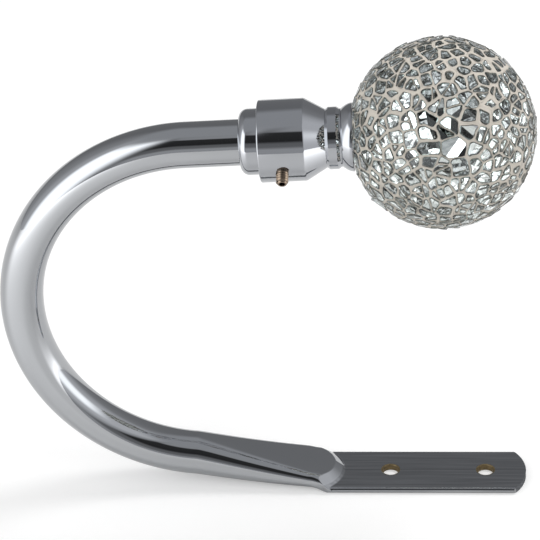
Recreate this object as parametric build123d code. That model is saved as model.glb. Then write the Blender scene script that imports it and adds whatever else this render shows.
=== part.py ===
from build123d import *

import math
import os
import random

os.makedirs("parts", exist_ok=True)

# Curtain tieback: a bent tube hook with a flattened, drilled wall tongue, a turned collar
# and a ball covered in crackled mirror mosaic. Millimetres and degrees.
# The origin is midway between the two wall holes, on the wall side of the tongue.
# +X runs along the tongue to its free end, +Y goes away from the viewer, +Z leaves the wall.

# Tube
tube_radius = 8.0
tube_wall = 1.2
bore_radius = tube_radius - tube_wall

# Bend of the hook, in the XZ plane
bend_centre_x = -83.1
bend_centre_z = 75.2
bend_radius = 65.2
bend_half_height = 7.7
top_rise_angle = 2.55
bend_top_angle = 90 + top_rise_angle
bend_end_angle = 265.0
oval_blend_angle = 20.0

# Flattened tongue: the two walls of the tube folded onto each other
tongue_thickness = 2 * tube_wall
tongue_half_width = math.pi * bore_radius / 2 + tube_wall
tongue_end_x = 32.4
tongue_end_radius = 17.4
hole_spacing = 35.0
hole_radius = 3.0
hole_rim_radius = 3.7
hole_rim_depth = 0.35

# Pressed stretch between the round tube and the tongue
press_end_x = -30.0
press_end_half_height = 1.9
press_underside_x = -50.0
press_crown_angle = 10.0
press_stations = 7
nose_tip_x = -34.3
nose_plan_radius = 14.1
nose_slope_angle = 42.0
fold_overlap = 14.0
fold_root_narrowing = 3.0
fold_edge_share = 0.96

# Collar, along the axis of the tube's upper end, measured from the origin's station
collar_ring_start = -67.0
collar_body_start = -60.3
collar_cone_start = -44.5
collar_groove_station = -37.4
collar_bead_end = -32.5
collar_rim_station = -28.2
collar_ring_radius = 11.4
collar_body_radius = 14.2
collar_neck_radius = 10.0
collar_bead_radius = 10.7
collar_rim_radius = 11.8
collar_ring_round = 3.0
collar_body_round = 0.5
collar_cone_round = 1.6
bead_chamfer = 1.0
flare_groove_width = 0.5
socket_clearance = 0.15
socket_depth = 20.6
socket_lead_in = 0.4

# Grub screw that clamps the tube
screw_radius = 2.0
screw_length = 10.2
screw_socket_width = 2.0
screw_socket_depth = 2.2
screw_station = -52.4
screw_turn_angle = 116.0
screw_chamfer = 0.4
thread_clearance = 0.03

# Stud between the collar and the ball, and the insert that it screws into
stud_radius = 3.0
stud_length = 30.0
stud_start_station = -45.0
stud_chamfer = 0.6
insert_radius = 4.4
insert_length = 13.0
insert_flange_radius = 5.6
insert_flange_thickness = 1.0
stud_well_depth = 1.5
stud_well_clearance = 0.5

# Ball: moulded core, grout and mirror glass, a little shorter along the axis than across it
ball_station = 2.0
ball_radius = 32.5
ball_shortening = 0.979
glass_thickness = 1.8
glass_proud = 0.25
grout_bed = 0.2
mount_land_radius = 10.4
mount_hole_clearance = 0.3
mount_flat_radius = 11.3
grout_radius = ball_radius - glass_proud
pocket_radius = ball_radius - glass_thickness
core_radius = ball_shortening * pocket_radius - grout_bed

# Mosaic layout
mosaic_seed = 23
first_ring_angle = 27.0
first_ring_cells = 14
cell_spacing = 8.8
front_cell_growth = 0.35
front_patch_angle = 24.0
front_direction = (0.481, 0.876, 0.0)
dart_tries = 9000
cell_joint = 1.5
shard_joint = 0.7
shard_area = 36.0
shard_area_spread = 0.45
smallest_shard_area = 1.6
shortest_shard_side = 0.5
same_place = 1e-5
glass_rows = 8

axis_rise = math.radians(top_rise_angle)
axis_height = (
    bend_centre_z
    + bend_radius / math.cos(axis_rise)
    - bend_centre_x * math.tan(axis_rise)
)
collar_axis = Plane(
    origin=(0, 0, axis_height),
    x_dir=(-math.sin(axis_rise), 0, math.cos(axis_rise)),
    z_dir=(math.cos(axis_rise), 0, math.sin(axis_rise)),
)
socket_floor_station = collar_ring_start + socket_depth


def oval_outline(half_height, round_radius, angle=press_crown_angle):
    """Four tangent arcs round a tube that was round with round_radius and is pressed flatter.

    The length round the outline stays that of the round tube.
    """
    half_angle = math.radians(angle)
    gain = 2 * half_angle / math.pi - 1 + math.cos(half_angle)
    spread = (round_radius - half_height) / gain
    side_radius = round_radius - 2 * half_angle / math.pi * spread
    crown_radius = side_radius + spread
    crown_x = crown_radius * math.sin(half_angle)
    crown_y = half_height - crown_radius * (1 - math.cos(half_angle))
    half_width = side_radius + spread * math.sin(half_angle)
    upper_left = (-crown_x, crown_y)
    upper_right = (crown_x, crown_y)
    lower_right = (crown_x, -crown_y)
    lower_left = (-crown_x, -crown_y)
    return Wire(
        [
            ThreePointArc(upper_left, (0, half_height), upper_right),
            ThreePointArc(upper_right, (half_width, 0), lower_right),
            ThreePointArc(lower_right, (0, -half_height), lower_left),
            ThreePointArc(lower_left, (-half_width, 0), upper_left),
        ]
    )


def section(x, z, slope, half_height, inset):
    """The oval at a point of the tube's centre line, square to a line of that slope."""
    tilt = math.radians(slope)
    plane = Plane(
        origin=(x, 0, z),
        x_dir=(0, -1, 0),
        z_dir=(math.cos(tilt), 0, math.sin(tilt)),
    )
    return plane.from_local_coords(oval_outline(half_height - inset, tube_radius - inset))


def bend_section(angle, half_height, inset):
    """The oval on the bend, at an angle round the bend's centre."""
    turn = math.radians(angle)
    x = bend_centre_x + bend_radius * math.cos(turn)
    z = bend_centre_z + bend_radius * math.sin(turn)
    return section(x, z, angle - 270, half_height, inset)


def eased(share):
    """A share from 0 to 1 with soft ends."""
    return share * share * (3 - 2 * share)


def press_section(share, inset):
    """The oval along the pressed stretch, from the bend to the nose."""
    end = math.radians(bend_end_angle)
    start_x = bend_centre_x + bend_radius * math.cos(end)
    start_z = bend_centre_z + bend_radius * math.sin(end)
    start_under = start_z - tube_radius
    x = start_x + (press_end_x - start_x) * share
    ramp = min(1.0, (x - start_x) / (press_underside_x - start_x))
    underside = start_under * (1 - ramp) ** 2
    narrowing = share ** 1.15
    half_height = tube_radius + (press_end_half_height - tube_radius) * narrowing
    slope = (bend_end_angle - 270) * (1 - eased(min(1.0, 3 * share)))
    return section(x, underside + half_height, slope, half_height, inset)


def straight_end(inset):
    """Upper end of the tube, from the bend to the socket floor in the collar."""
    across = bend_centre_x * math.cos(axis_rise)
    bend_station = across + (bend_centre_z - axis_height) * math.sin(axis_rise)
    length = socket_floor_station - bend_station
    shaft = Cylinder(tube_radius - inset, length, align=(Align.CENTER, Align.CENTER, Align.MIN))
    return collar_axis * Pos(0, 0, bend_station) * shaft


def oval_bend(inset):
    """The bend: round at both ends, slightly oval where the bender has pressed it."""
    blend = oval_blend_angle
    start = bend_top_angle
    end = bend_end_angle
    drop = tube_radius - bend_half_height
    first = [
        bend_section(start + blend * share, tube_radius - drop * eased(share), inset)
        for share in (0.0, 0.33, 0.67, 1.0)
    ]
    last = [
        bend_section(end - blend * share, tube_radius - drop * eased(share), inset)
        for share in (1.0, 0.67, 0.33, 0.0)
    ]
    middle_face = Face(bend_section(start + blend, bend_half_height, inset))
    spindle = Axis((bend_centre_x, 0, bend_centre_z), (0, -1, 0))
    middle = revolve(middle_face, spindle, end - start - 2 * blend)
    return Solid.make_loft(first) + middle + Solid.make_loft(last)


def pressed_stretch(inset):
    """The tube pressed flatter and wider towards the tongue."""
    shares = [index / (press_stations - 1) for index in range(press_stations)]
    return Solid.make_loft([press_section(share, inset) for share in shares])


def nose_cone(inset):
    """Upright cone whose flank ends the pressed stretch in a rounded nose."""
    slope = math.radians(nose_slope_angle)
    base_radius = nose_plan_radius - inset / math.sin(slope)
    height = base_radius * math.tan(slope)
    skirt = tongue_thickness
    cone = Cone(
        base_radius + skirt / math.tan(slope),
        0,
        height + skirt,
        align=(Align.CENTER, Align.CENTER, Align.MIN),
    )
    block_length = 80.0
    behind = Box(
        block_length,
        2 * nose_plan_radius,
        3 * tube_radius,
        align=(Align.MAX, Align.CENTER, Align.MIN),
    )
    centre_x = nose_tip_x - nose_plan_radius
    return Pos(centre_x, 0, 0) * (cone + behind)


def tongue_blank():
    """Flat tongue with folded round edges, a tapering root and an arc-shaped sheared end."""
    root_x = nose_tip_x - fold_overlap
    full_x = nose_tip_x - nose_plan_radius + math.sqrt(
        nose_plan_radius ** 2 - tongue_half_width ** 2
    )
    root_half_width = tongue_half_width - fold_root_narrowing
    outline = Polyline(
        (tongue_end_x + tongue_thickness, tongue_half_width),
        (full_x, tongue_half_width),
        (root_x, root_half_width),
        (root_x, -root_half_width),
        (full_x, -tongue_half_width),
        (tongue_end_x + tongue_thickness, -tongue_half_width),
        close=True,
    )
    slab = extrude(make_face(outline), tongue_thickness)
    long_edges = [
        edge
        for edge in slab.edges().filter_by(Axis.Z, reverse=True)
        if abs(edge.center().Y) > root_half_width / 2
    ]
    slab = fillet(long_edges, fold_edge_share * tongue_thickness / 2)
    end_disc = Pos(tongue_end_x - tongue_end_radius, 0, 0) * Cylinder(
        tongue_end_radius, tongue_thickness, align=(Align.CENTER, Align.CENTER, Align.MIN)
    )
    before_end = Pos(tongue_end_x - tongue_end_radius, 0, 0) * Box(
        2 * (tongue_end_x - root_x),
        4 * tongue_half_width,
        tongue_thickness,
        align=(Align.MAX, Align.CENTER, Align.MIN),
    )
    return slab & (end_disc + before_end)


def wall_hole():
    """Screw hole with the small worn rim that punching and plating leave."""
    hole = Pos(0, 0, tongue_thickness / 2) * Cylinder(hole_radius, 2 * tongue_thickness)
    rim = Pos(0, 0, tongue_thickness - hole_rim_depth) * Cone(
        hole_radius,
        hole_rim_radius,
        hole_rim_depth,
        align=(Align.CENTER, Align.CENTER, Align.MIN),
    )
    return hole + rim


def hook():
    """One tube: straight end, bend, pressed stretch and drilled tongue."""
    outside = straight_end(0) + oval_bend(0)
    outside += (pressed_stretch(0) & nose_cone(0)) + tongue_blank()
    bore = straight_end(tube_wall) + oval_bend(tube_wall)
    bore += pressed_stretch(tube_wall) & nose_cone(tube_wall)
    holes = [Pos(side * hole_spacing / 2, 0, 0) * wall_hole() for side in (-1, 1)]
    return outside - bore - holes


def collar_outline():
    """Half section of the collar, as (radius, station) points and rounded corners."""
    body_end = collar_cone_start
    bead_start = collar_groove_station + bead_chamfer
    profile = Polyline(
        (0, collar_ring_start),
        (collar_ring_radius, collar_ring_start),
        (collar_ring_radius, collar_body_start),
        (collar_body_radius, collar_body_start),
        (collar_body_radius, body_end),
        (collar_neck_radius, collar_groove_station),
        (collar_bead_radius, bead_start),
        (collar_bead_radius, collar_bead_end - bead_chamfer),
        (collar_neck_radius, collar_bead_end),
        (collar_neck_radius, collar_bead_end + flare_groove_width),
    )
    flare = ThreePointArc(
        (collar_neck_radius, collar_bead_end + flare_groove_width),
        (
            collar_neck_radius + 0.72 * (collar_rim_radius - collar_neck_radius),
            (collar_bead_end + flare_groove_width + collar_rim_station) / 2,
        ),
        (collar_rim_radius, collar_rim_station),
    )
    land = core_land_station()
    close = Polyline(
        (collar_rim_radius, collar_rim_station),
        (collar_neck_radius, collar_rim_station),
        (collar_neck_radius, land),
        (0, land),
        (0, collar_ring_start),
    )
    return make_face([profile, flare, close])


def core_land_station():
    """Station of the flat on the core that the collar's end sits on."""
    return ball_station - math.sqrt(core_radius ** 2 - mount_land_radius ** 2)


def rounded(face, corner, radius):
    """The half section with one of its corners rounded."""
    vertex = face.vertices().sort_by_distance(corner)[0]
    return fillet(vertex, radius)


def collar():
    """Turned collar with a socket for the tube, a screw hole, a stud hole and a spigot."""
    half = collar_outline()
    half = rounded(half, (collar_ring_radius, collar_ring_start), collar_ring_round)
    half = rounded(half, (collar_body_radius, collar_body_start), collar_body_round)
    half = rounded(half, (collar_body_radius, collar_cone_start), collar_cone_round)
    body = revolve(Plane.XZ * half, Axis.Z)
    socket_radius = tube_radius + socket_clearance
    socket = Pos(0, 0, collar_ring_start) * Cylinder(
        socket_radius, socket_depth, align=(Align.CENTER, Align.CENTER, Align.MIN)
    )
    lead_in = Pos(0, 0, collar_ring_start) * Cone(
        socket_radius + socket_lead_in,
        socket_radius,
        socket_lead_in,
        align=(Align.CENTER, Align.CENTER, Align.MIN),
    )
    stud_hole = Pos(0, 0, socket_floor_station) * Cylinder(
        stud_radius + thread_clearance,
        core_land_station() - socket_floor_station,
        align=(Align.CENTER, Align.CENTER, Align.MIN),
    )
    screw_hole = screw_place() * Cylinder(
        screw_radius + thread_clearance,
        2 * screw_length,
        align=(Align.CENTER, Align.CENTER, Align.MIN),
    )
    return body - socket - lead_in - stud_hole - screw_hole


def screw_place():
    """Where the grub screw's inner tip meets the tube, with Z out along the screw."""
    turn = math.radians(screw_turn_angle)
    outward = (math.cos(turn), math.sin(turn), 0)
    start = (tube_radius * outward[0], tube_radius * outward[1], screw_station)
    return Location(Plane(origin=start, x_dir=(0, 0, 1), z_dir=outward))


def set_screw():
    """Headless screw with a hexagon socket in its outer end."""
    shank = Cylinder(screw_radius, screw_length, align=(Align.CENTER, Align.CENTER, Align.MIN))
    ends = shank.edges().filter_by(GeomType.CIRCLE)
    shank = chamfer(ends, screw_chamfer)
    hexagon = RegularPolygon(screw_socket_width / 2, 6, major_radius=False)
    recess = extrude(Pos(0, 0, screw_length) * hexagon, -screw_socket_depth)
    tip_gap = thread_clearance
    return screw_place() * Pos(0, 0, tip_gap) * (shank - recess)


def stud():
    """Threaded stud from the collar into the ball."""
    rod = Cylinder(stud_radius, stud_length, align=(Align.CENTER, Align.CENTER, Align.MIN))
    rod = chamfer(rod.edges().filter_by(GeomType.CIRCLE), stud_chamfer)
    return Pos(0, 0, stud_start_station) * rod


def threaded_insert():
    """Flanged bush in the core that takes the stud."""
    land = core_land_station()
    barrel = Cylinder(insert_radius, insert_length, align=(Align.CENTER, Align.CENTER, Align.MIN))
    flange = Cylinder(
        insert_flange_radius,
        insert_flange_thickness,
        align=(Align.CENTER, Align.CENTER, Align.MIN),
    )
    thread = Cylinder(
        stud_radius + thread_clearance,
        insert_length,
        align=(Align.CENTER, Align.CENTER, Align.MIN),
    )
    return Pos(0, 0, land) * (barrel + flange - thread)


def core_outside():
    """The core's outer line, from its flat to its pole."""
    start = -math.degrees(math.acos(mount_land_radius / core_radius))
    return CenterArc((0, ball_station), core_radius, start, 90 - start)


def core_blank():
    """The core without its bore."""
    land = core_land_station()
    pole = ball_station + core_radius
    inside = Polyline((0, pole), (0, land), (mount_land_radius, land))
    return revolve(Plane.XZ * make_face([core_outside(), inside]), Axis.Z)


def ball_core():
    """Moulded core with the stepped bore of the insert and a well for the stud's end."""
    land = core_land_station()
    pole = ball_station + core_radius
    step = land + insert_flange_thickness
    bottom = land + insert_length
    well = max(bottom, stud_start_station + stud_length) + stud_well_depth
    inside = Polyline(
        (0, pole),
        (0, well),
        (stud_radius + stud_well_clearance, well),
        (stud_radius + stud_well_clearance, bottom),
        (insert_radius, bottom),
        (insert_radius, step),
        (insert_flange_radius, step),
        (insert_flange_radius, land),
        (mount_land_radius, land),
    )
    return revolve(Plane.XZ * make_face([core_outside(), inside]), Axis.Z)


def unit(x, y, z):
    """The direction of a vector, at length one."""
    return Vector(x, y, z).normalized()


def cell_directions():
    """Directions of the mosaic's cells from the ball's centre, scattered at an even spacing."""
    random.seed(mosaic_seed)
    ring = math.radians(first_ring_angle)
    places = []
    for index in range(first_ring_cells):
        turn = 2 * math.pi * (index + random.uniform(-0.12, 0.12)) / first_ring_cells
        places.append(
            unit(
                math.sin(ring) * math.cos(turn),
                math.sin(ring) * math.sin(turn),
                -math.cos(ring),
            )
        )
    front = unit(*front_direction)
    for _ in range(dart_tries):
        height = random.uniform(-math.cos(1.25 * ring), 1)
        turn = random.uniform(0, 2 * math.pi)
        across = math.sqrt(1 - height * height)
        place = unit(across * math.cos(turn), across * math.sin(turn), height)
        off_front = math.degrees(math.acos(max(-1.0, min(1.0, place.dot(front)))))
        growth = 1 + front_cell_growth * math.exp(-((off_front / front_patch_angle) ** 2))
        reach = growth * cell_spacing / ball_radius
        limit = math.cos(reach)
        if all(place.dot(other) < limit for other in places):
            places.append(place)
    return places


def clip(outline, normal_x, normal_y, limit):
    """The part of a flat convex outline on the near side of a straight line."""
    kept = []
    for index, (x, y) in enumerate(outline):
        after_x, after_y = outline[(index + 1) % len(outline)]
        here = normal_x * x + normal_y * y - limit
        there = normal_x * after_x + normal_y * after_y - limit
        if here <= 0:
            kept.append((x, y))
        if (here < 0 < there) or (there < 0 < here):
            share = here / (here - there)
            kept.append((x + share * (after_x - x), y + share * (after_y - y)))
    return kept


def area(outline):
    """Area of a flat outline."""
    total = 0
    for index, (x, y) in enumerate(outline):
        after_x, after_y = outline[(index + 1) % len(outline)]
        total += x * after_y - after_x * y
    return abs(total) / 2


def middle(outline):
    """Mean of an outline's corners."""
    count = len(outline)
    return sum(x for x, _ in outline) / count, sum(y for _, y in outline) / count


def inset_outline(outline, distance):
    """A convex outline moved inwards by a distance on every side."""
    inner = outline
    for index, (x, y) in enumerate(outline):
        after_x, after_y = outline[(index + 1) % len(outline)]
        length = math.hypot(after_x - x, after_y - y)
        normal_x = (after_y - y) / length
        normal_y = -(after_x - x) / length
        inner = clip(inner, normal_x, normal_y, normal_x * x + normal_y * y - distance)
    return inner


def tangent_axes(direction):
    """Two directions that span the plane square to a direction."""
    helper = Vector(0, 0, 1) if abs(direction.Z) < 0.9 else Vector(1, 0, 0)
    first = helper.cross(direction).normalized()
    return first, direction.cross(first)


def cell_outline(direction, others, flat_height):
    """Where one flat of the faceted ball meets its neighbours, on a ball of radius one."""
    first, second = tangent_axes(direction)
    size = 2.0
    outline = [(-size, -size), (size, -size), (size, size), (-size, size)]
    planes = [(other, 1.0) for other in others] + [(Vector(0, 0, -1), flat_height)]
    for normal, height in planes:
        along = normal.dot(direction)
        normal_x = normal.dot(first)
        normal_y = normal.dot(second)
        outline = clip(outline, normal_x, normal_y, height - along)
    return outline


def split(outline, wanted_area):
    """Break an outline along straight cracks until its pieces are small enough."""
    if area(outline) < wanted_area * random.uniform(1 - shard_area_spread, 1 + shard_area_spread):
        return [outline]
    centre_x, centre_y = middle(outline)
    far_x, far_y = max(outline, key=lambda p: math.hypot(p[0] - centre_x, p[1] - centre_y))
    turn = math.atan2(far_y - centre_y, far_x - centre_x) + random.gauss(0, 0.45)
    normal_x = math.cos(turn)
    normal_y = math.sin(turn)
    shift = random.uniform(-0.12, 0.12) * math.sqrt(area(outline))
    limit = normal_x * centre_x + normal_y * centre_y + shift
    gap = shard_joint / 2
    near = clip(outline, normal_x, normal_y, limit - gap)
    far = clip(outline, -normal_x, -normal_y, -limit - gap)
    pieces = []
    for piece in (near, far):
        if len(piece) > 2 and area(piece) > smallest_shard_area:
            pieces += split(piece, wanted_area)
    return pieces


def without_short_sides(outline, shortest):
    """An outline with corners that almost coincide made one."""
    kept = []
    for x, y in outline:
        if not kept or math.hypot(x - kept[-1][0], y - kept[-1][1]) > shortest:
            kept.append((x, y))
    while len(kept) > 3 and math.hypot(kept[0][0] - kept[-1][0], kept[0][1] - kept[-1][1]) < shortest:
        kept.pop()
    return kept


def lifted(outline, direction, radius):
    """Points of a flat outline on the plane at a radius, on the shortened ball."""
    first, second = tangent_axes(direction)
    points = []
    for x, y in outline:
        spot = direction * radius + first * x + second * y
        points.append(Vector(spot.X, spot.Y, ball_station + ball_shortening * spot.Z))
    return points


def scaled(outline, factor):
    """A flat outline made larger or smaller about its plane's own centre."""
    return [(factor * x, factor * y) for x, y in outline]


def flat_face(points):
    """A flat face from its corners."""
    return Face(Wire.make_polygon(points, close=True))


def walls(lower, upper):
    """Flat side faces between two like outlines."""
    sides = []
    for index in range(len(lower)):
        after = (index + 1) % len(lower)
        sides.append(flat_face([lower[index], lower[after], upper[after], upper[index]]))
    return sides


def glass_shard(outline, direction):
    """One piece of mirror glass in its pocket, its sides pointing to the ball's centre."""
    top = lifted(scaled(outline, ball_radius / grout_radius), direction, ball_radius)
    bottom = lifted(scaled(outline, pocket_radius / grout_radius), direction, pocket_radius)
    faces = walls(bottom, top) + [flat_face(top), flat_face(bottom)]
    return Solid(Shell(faces))


def mount_flat_height():
    """Height of the flat at the mount, on a ball of radius one, from the flat's radius."""
    ring = math.radians(first_ring_angle)
    return (1 - mount_flat_radius / grout_radius * math.sin(ring)) / math.cos(ring)


def mosaic_cells():
    """Every cell: its direction, its outline and the outlines of its shards in the grout."""
    directions = cell_directions()
    cells = []
    for direction in directions:
        others = [other for other in directions if other is not direction]
        outline = scaled(cell_outline(direction, others, mount_flat_height()), grout_radius)
        shards = []
        for piece in split(inset_outline(outline, cell_joint / 2), shard_area):
            shard = without_short_sides(piece, shortest_shard_side)
            if len(shard) > 2:
                shards.append(shard)
        cells.append((direction, outline, shards))
    return cells


def grout(cells):
    """Grout: a faceted shell on the core, with a pocket for every shard and a mount flat."""
    faces = []
    corners = []
    for direction, outline, shards in cells:
        rim = lifted(outline, direction, grout_radius)
        mouths = [lifted(shard, direction, grout_radius) for shard in shards]
        holes = [Wire.make_polygon(mouth, close=True) for mouth in mouths]
        faces.append(Face(Wire.make_polygon(rim, close=True), holes))
        for shard, mouth in zip(shards, mouths):
            floor_outline = scaled(shard, pocket_radius / grout_radius)
            floor = lifted(floor_outline, direction, pocket_radius)
            faces += walls(floor, mouth)
            faces.append(flat_face(floor))
        corners += rim
    flat_station = ball_station - ball_shortening * mount_flat_height() * grout_radius
    around = [spot for spot in corners if abs(spot.Z - flat_station) < same_place]
    around.sort(key=lambda spot: math.atan2(spot.Y, spot.X))
    border = [
        spot for index, spot in enumerate(around) if (spot - around[index - 1]).length > same_place
    ]
    faces.append(flat_face(border))
    body = Solid(Shell(faces))
    mouth = Pos(0, 0, flat_station) * Cylinder(
        collar_neck_radius + mount_hole_clearance, 4 * glass_thickness
    )
    return body - core_blank() - mouth


def glass_rows_of(cells):
    """Mirror glass by rows from the collar to the far pole, a list of shards for each."""
    rows = [[] for _ in range(glass_rows)]
    for direction, _, shards in cells:
        polar = math.degrees(math.acos(max(-1.0, min(1.0, -direction.Z))))
        share = (polar - first_ring_angle + 1) / (181 - first_ring_angle)
        row = min(glass_rows - 1, int(share * glass_rows))
        rows[row] += [glass_shard(shard, direction) for shard in shards]
    return rows


def save(name, shape):
    """Write one piece, moved from its own axis to the axis of the tube's upper end."""
    export_step(shape.moved(collar_axis.location), "parts/" + name + ".step")


export_step(hook(), "parts/hook.step")
save("collar", collar())
save("set_screw", set_screw())
save("stud", stud())
save("threaded_insert", threaded_insert())
save("ball_core", ball_core())
cells = mosaic_cells()
save("grout", grout(cells))
for number, shards in enumerate(glass_rows_of(cells), start=1):
    save("mirror_glass_" + str(number), Compound(shards))
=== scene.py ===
import math
import random
import types

import bmesh
import bpy
import numpy
from mathutils import Matrix, Vector, kdtree, noise


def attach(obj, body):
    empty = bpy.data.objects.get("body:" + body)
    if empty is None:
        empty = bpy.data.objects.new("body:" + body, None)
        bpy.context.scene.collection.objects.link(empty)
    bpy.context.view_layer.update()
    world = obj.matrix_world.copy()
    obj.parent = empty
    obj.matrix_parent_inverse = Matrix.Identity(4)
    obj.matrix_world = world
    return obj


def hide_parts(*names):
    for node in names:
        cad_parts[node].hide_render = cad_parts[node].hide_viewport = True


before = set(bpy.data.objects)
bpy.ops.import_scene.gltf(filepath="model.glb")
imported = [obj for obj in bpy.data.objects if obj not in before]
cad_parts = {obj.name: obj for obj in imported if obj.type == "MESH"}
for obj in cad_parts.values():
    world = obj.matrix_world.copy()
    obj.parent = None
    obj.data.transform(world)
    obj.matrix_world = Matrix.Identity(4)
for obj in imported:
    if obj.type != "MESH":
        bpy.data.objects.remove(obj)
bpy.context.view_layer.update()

bl_info = {
    "name": "Curtain tieback",
    "version": (1, 0, 0),
    "blender": (4, 5, 0),
    "location": "View3D > Sidebar > Tieback",
    "description": "Dresses a chromed curtain tieback with a crackled mirror mosaic ball",
    "category": "Add Mesh",
}

MM = 0.001
GLASS_NODES = sorted(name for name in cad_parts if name.startswith("mirror_glass"))

# Lengths in millimetres that follow from how the pieces are made.
TUBE_END_STATION = -46.5  # the tube's end, on the floor of the collar's socket
SCREW_HOLE_RADIUS = 2.22
EDGE_STEP = 1.5  # longest straight piece of a broken edge
CORNER_REACH = 0.8  # how far a chip's corners are worn round
SILVER_LIFT = 0.22  # height of the silvering over the back of the glass
SILVER_MARGIN = 0.12  # distance of the silvering from the glass's edge

# Rings of points on the stretches of the hook, and points on each ring.
STRAIGHT_RINGS, BEND_RINGS, ROOT_RINGS, FOLD_RINGS, FLAT_RINGS = 6, 150, 50, 70, 12
RING_POINTS = 192

# How the mosaic's cells are scattered, and how the larger ones gather at the front.
TO_CAMERA = (0.06, -0.87, 0.44)
TRIES = 9000  # random directions tried for a cell
NEIGHBOURS = 22
FRONT_REACH = 17  # degrees
MOUNT_POINTS = 96

# The grout round a chip: the share of the way out to its cell's edge, and the height over the
# grout's radius. The last row is on the bed.
GROUT_ROWS = ((1.0, 0.0), (0.6, 0.05), (0.12, 0.03), (0.03, -0.08), (0.0, None))


def millimetres(name, size, text):
    """A length property, written in millimetres and kept in metres."""
    return bpy.props.FloatProperty(
        name=name, description=text, default=size * MM, unit="LENGTH", precision=5
    )


def degrees(name, angle, text):
    """An angle property, written in degrees and kept in radians."""
    return bpy.props.FloatProperty(
        name=name, description=text, default=math.radians(angle), subtype="ANGLE"
    )


def number(name, value, text):
    """A property that is a plain number."""
    return bpy.props.FloatProperty(name=name, description=text, default=value)


def hex_colour(name, code, text):
    """A colour property from its sRGB hex value."""
    return bpy.props.FloatVectorProperty(
        name=name, description=text, default=linear(code), size=3, subtype="COLOR", min=0, max=1
    )


def linear(code):
    """An sRGB hex colour as linear red, green and blue."""
    parts = [int(code[i:i + 2], 16) / 255 for i in (1, 3, 5)]
    return tuple(c / 12.92 if c <= 0.04045 else ((c + 0.055) / 1.055) ** 2.4 for c in parts)


class TiebackTubeSettings(bpy.types.PropertyGroup):
    """Sizes of the bent tube and its flattened tongue."""

    tube_radius: millimetres("Tube radius", 8.0, "Outer radius of the round tube")
    tube_wall: millimetres("Tube wall", 1.2, "Wall of the tube")
    bend_centre_x: millimetres("Bend centre X", -83.1, "Centre of the bend, along the tongue")
    bend_centre_z: millimetres("Bend centre Z", 75.2, "Centre of the bend, out from the wall")
    bend_radius: millimetres("Bend radius", 65.2, "Radius of the bend's centre line")
    bend_half_height: millimetres("Oval half height", 7.7, "Half height of the oval bend")
    rise_angle: degrees("Rise", 2.55, "Slope of the upper end")
    bend_end_angle: degrees("Bend end", 265.0, "Angle where the pressed stretch starts")
    oval_blend_angle: degrees("Oval blend", 20.0, "Turn over which the tube becomes oval")
    crown_angle: degrees("Crown", 10.0, "Half turn of the flattened side's arc")
    press_end_x: millimetres("Press end", -30.0, "Where the pressing reaches its thinnest")
    press_end_half_height: millimetres("Press half height", 1.9, "Half height there")
    press_underside_x: millimetres("Underside flat from", -50.0, "Where it meets the wall")
    nose_tip_x: millimetres("Nose tip", -34.3, "Tip of the nose on the tongue")
    nose_radius: millimetres("Nose radius", 14.1, "Radius of the nose, seen from above")
    nose_slope: degrees("Nose slope", 42.0, "Slope of the nose")
    fold_root_x: millimetres("Fold root", -48.3, "Where the folded edges start")
    fold_root_narrowing: millimetres("Root narrowing", 3.0, "How much narrower the root is")
    tongue_end_x: millimetres("Tongue end", 32.4, "Free end of the tongue")
    tongue_end_radius: millimetres("End radius", 17.4, "Radius of the sheared end")
    hole_spacing: millimetres("Hole spacing", 35.0, "Distance between the wall holes")
    hole_radius: millimetres("Hole radius", 3.0, "Radius of the wall holes")
    hole_rim_radius: millimetres("Rim radius", 3.7, "Radius of the worn rim of the holes")


class TiebackCollarSettings(bpy.types.PropertyGroup):
    """Sizes of the turned collar; its stations run along its axis towards the ball."""

    bore_radius: millimetres("Bore radius", 8.15, "Radius of the socket for the tube")
    mouth_station: millimetres("Mouth", -67.0, "End over the tube")
    ring_radius: millimetres("Ring radius", 11.4, "Radius of the ring over the tube")
    ring_rounding: millimetres("Ring rounding", 3.0, "Radius of the ring's rounded edge")
    body_station: millimetres("Body start", -60.3, "Where the ring meets the body")
    body_radius: millimetres("Body radius", 14.2, "Radius of the body with the screw")
    cone_station: millimetres("Cone start", -45.0, "Where the body turns into the cone")
    neck_station: millimetres("Cone end", -37.4, "Where the cone ends, under the bead")
    neck_radius: millimetres("Neck radius", 10.0, "Radius on both sides of the bead")
    bead_radius: millimetres("Bead radius", 10.7, "Radius of the bead")
    flare_station: millimetres("Flare start", -32.0, "Where the flare starts, over the bead")
    flare_length: millimetres("Flare length", 3.8, "Length of the flare under the ball")
    flare_growth: millimetres("Flare growth", 1.8, "How much the flare widens")


class TiebackScrewSettings(bpy.types.PropertyGroup):
    """Sizes of the grub screw that clamps the tube."""

    root_radius: millimetres("Root radius", 1.72, "Radius at the bottom of the thread")
    crest_radius: millimetres("Crest radius", 2.13, "Radius over the thread")
    pitch: millimetres("Pitch", 0.95, "Distance between two crests")
    length: millimetres("Length", 10.2, "Length of the screw")
    socket_radius: millimetres("Socket radius", 1.16, "Radius over the corners of the socket")
    socket_depth: millimetres("Socket depth", 2.2, "Depth of the hexagon socket")
    station: millimetres("Station", -52.4, "Place of the screw along the collar's axis")
    turn: degrees("Turn", 116, "Angle of the screw round the collar, from its top")


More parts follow.
